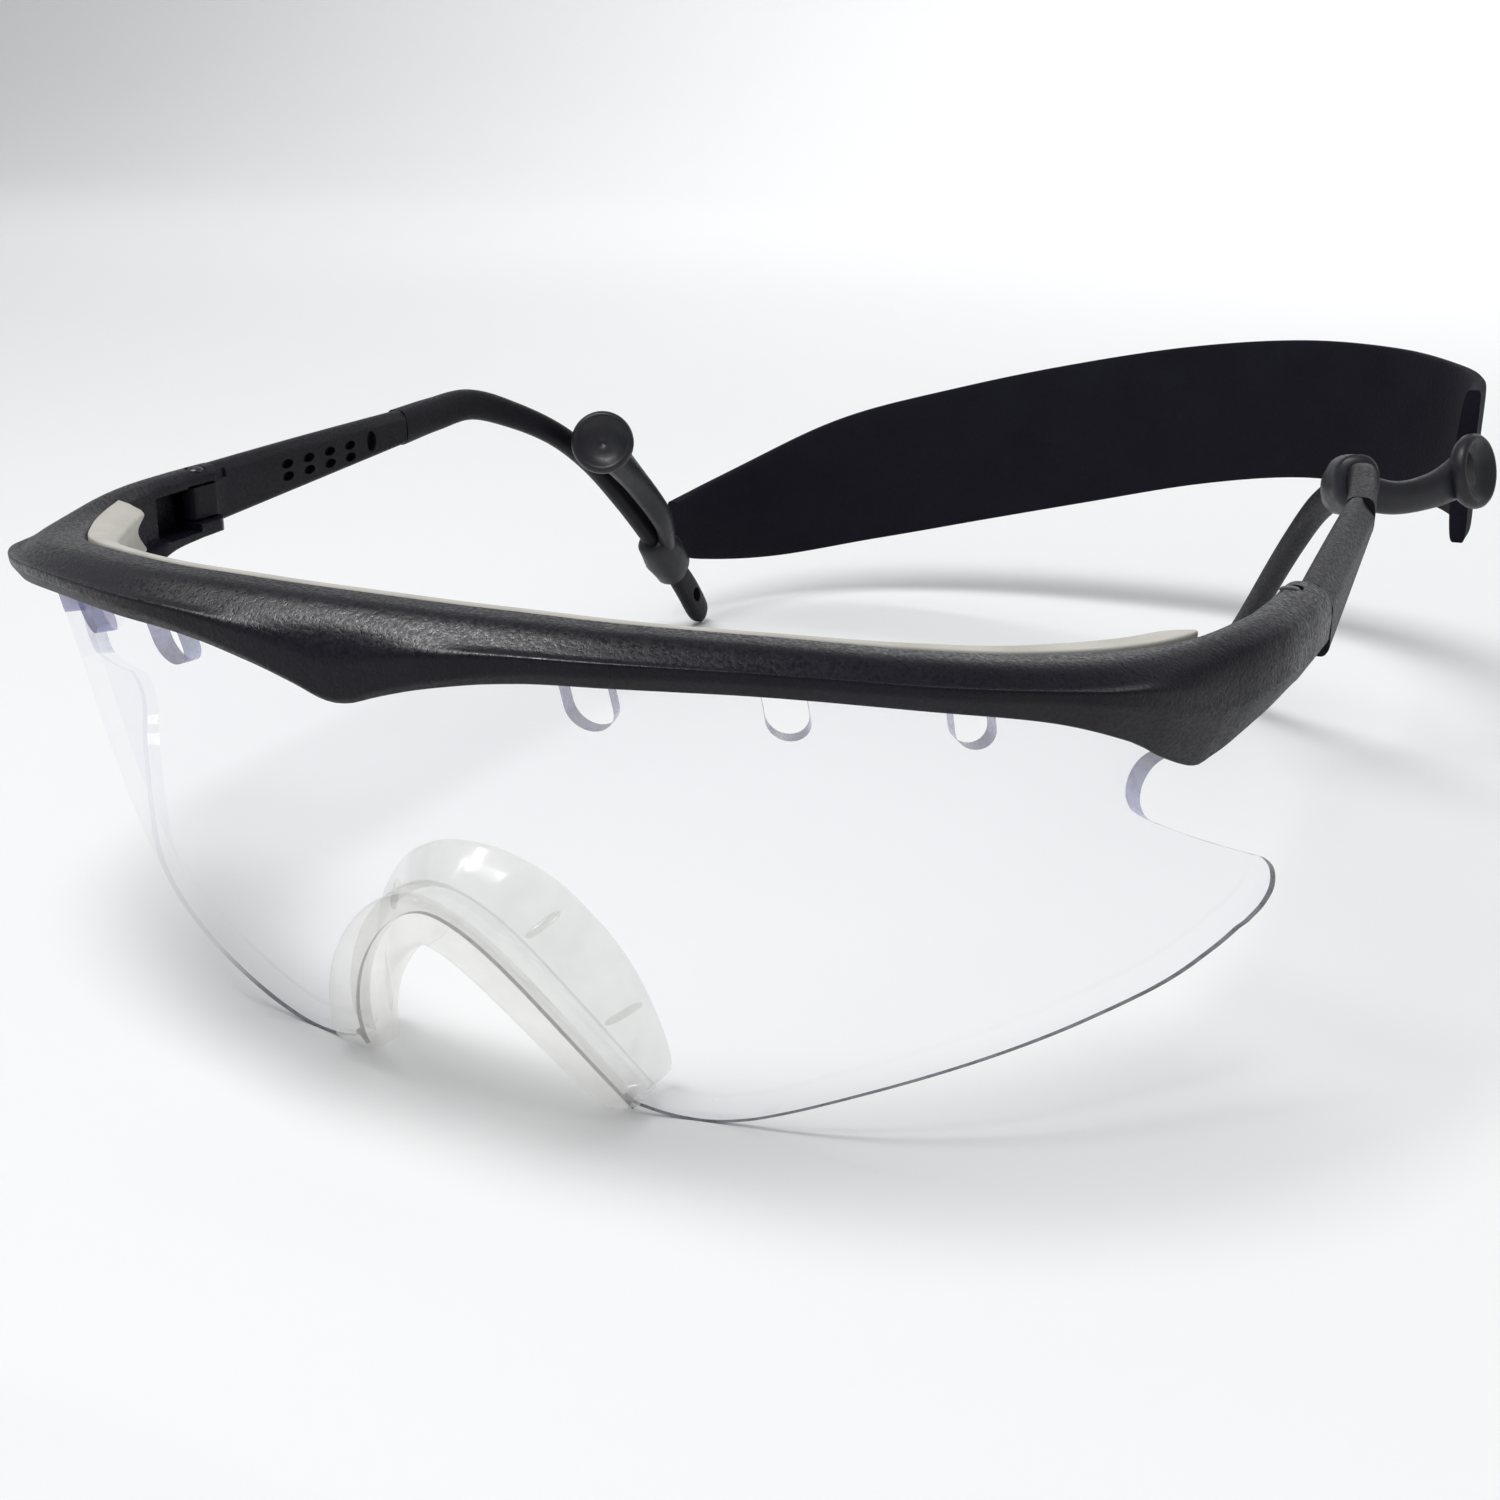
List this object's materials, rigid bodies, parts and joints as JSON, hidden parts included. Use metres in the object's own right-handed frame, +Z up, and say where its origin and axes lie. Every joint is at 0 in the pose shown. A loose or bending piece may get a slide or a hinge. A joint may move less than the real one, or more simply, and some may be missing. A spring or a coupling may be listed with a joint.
{
  "type": "sports protective goggles",
  "caption": "Clear wrap sports goggles with a dark brow frame, soft nose piece, folding telescopic temples, rubber strap tabs and a neoprene head strap.",
  "frame": {"origin": "centre of the bounding box, at the level of the surface the goggles rest on", "axes": "+Y from the lens towards the back of the head, +Z up, +X towards the wearer's left"},
  "size_m": [0.144, 0.218, 0.0538],
  "materials": {
    "frame_black": "fine textured satin",
    "clear_lens": "polished clear",
    "pad_grey": "matt soft",
    "nose_silicone": "translucent satin",
    "pin_steel": "brushed",
    "strap_rubber": "satin",
    "strap_neoprene": "knit-faced foam"
  },
  "bodies": {
    "front": {"brow_frame": "frame_black", "lens": "clear_lens", "brow_pad": "pad_grey", "nose_piece": "nose_silicone", "hinge_pin_right": "pin_steel", "hinge_pin_left": "pin_steel"},
    "arm_right": {"temple_front_right": "frame_black"},
    "arm_left": {"temple_front_left": "frame_black"},
    "hook_right": {"temple_rear_right": "frame_black", "length_click_right": "frame_black", "strap_tab_right": "strap_rubber"},
    "hook_left": {"temple_rear_left": "frame_black", "length_click_left": "frame_black", "strap_tab_left": "strap_rubber"},
    "band_end_right": {"strap_end_right": "strap_neoprene"},
    "band_right": {"strap_band_right": "strap_neoprene"},
    "band_left": {"strap_band_left": "strap_neoprene"},
    "band_end_left": {"strap_end_left": "strap_neoprene"}
  },
  "joints": [
    {"name": "fold_right", "type": "hinge", "parent": "front", "child": "arm_right", "pos_m": [-0.06668, -0.04841, 0.0443], "axis": [0, 0, 1], "range_deg": [-90, 0]},
    {"name": "fold_left", "type": "hinge", "parent": "front", "child": "arm_left", "pos_m": [0.06432, -0.04841, 0.0443], "axis": [0, 0, 1], "range_deg": [0, 76]},
    {"name": "length_right", "type": "slide", "parent": "arm_right", "child": "hook_right", "axis": [-0.0419, 0.9991, 0], "range_m": [0, 0.0102]},
    {"name": "length_left", "type": "slide", "parent": "arm_left", "child": "hook_left", "axis": [-0.0889, 0.996, 0], "range_m": [0, 0.0102]},
    {"name": "strap_turn_right", "type": "hinge", "parent": "hook_right", "child": "band_end_right", "pos_m": [-0.06398, 0.06599, 0.0178], "axis": [0, 0, 1], "range_deg": [0, 171.9], "deforming": ["strap_end_right"]},
    {"name": "strap_bend_right", "type": "hinge", "parent": "band_end_right", "child": "band_right", "pos_m": [-0.06278, 0.07659, 0.0168], "axis": [0, 0, 1], "range_deg": [-65.8, 0], "deforming": ["strap_band_right"]},
    {"name": "strap_bend_left", "type": "hinge", "parent": "band_right", "child": "band_left", "pos_m": [-0.00618, 0.10759, 0.0318], "axis": [0, 0, 1], "range_deg": [-35, 0], "deforming": ["strap_band_left"]},
    {"name": "strap_turn_left", "type": "hinge", "parent": "hook_left", "child": "band_end_left", "pos_m": [0.06722, 0.04209, 0.044], "axis": [0, 0, 1], "range_deg": [0, 6.8], "deforming": ["strap_end_left"]}
  ],
  "couplings": [
    {"joint": "strap_turn_right", "follows": "fold_right", "ratio": -1.9084},
    {"joint": "strap_turn_left", "follows": "fold_right", "ratio": -0.0737},
    {"joint": "strap_bend_right", "follows": "fold_left", "ratio": -0.8638},
    {"joint": "strap_bend_left", "follows": "fold_left", "ratio": -0.4587}
  ]
}
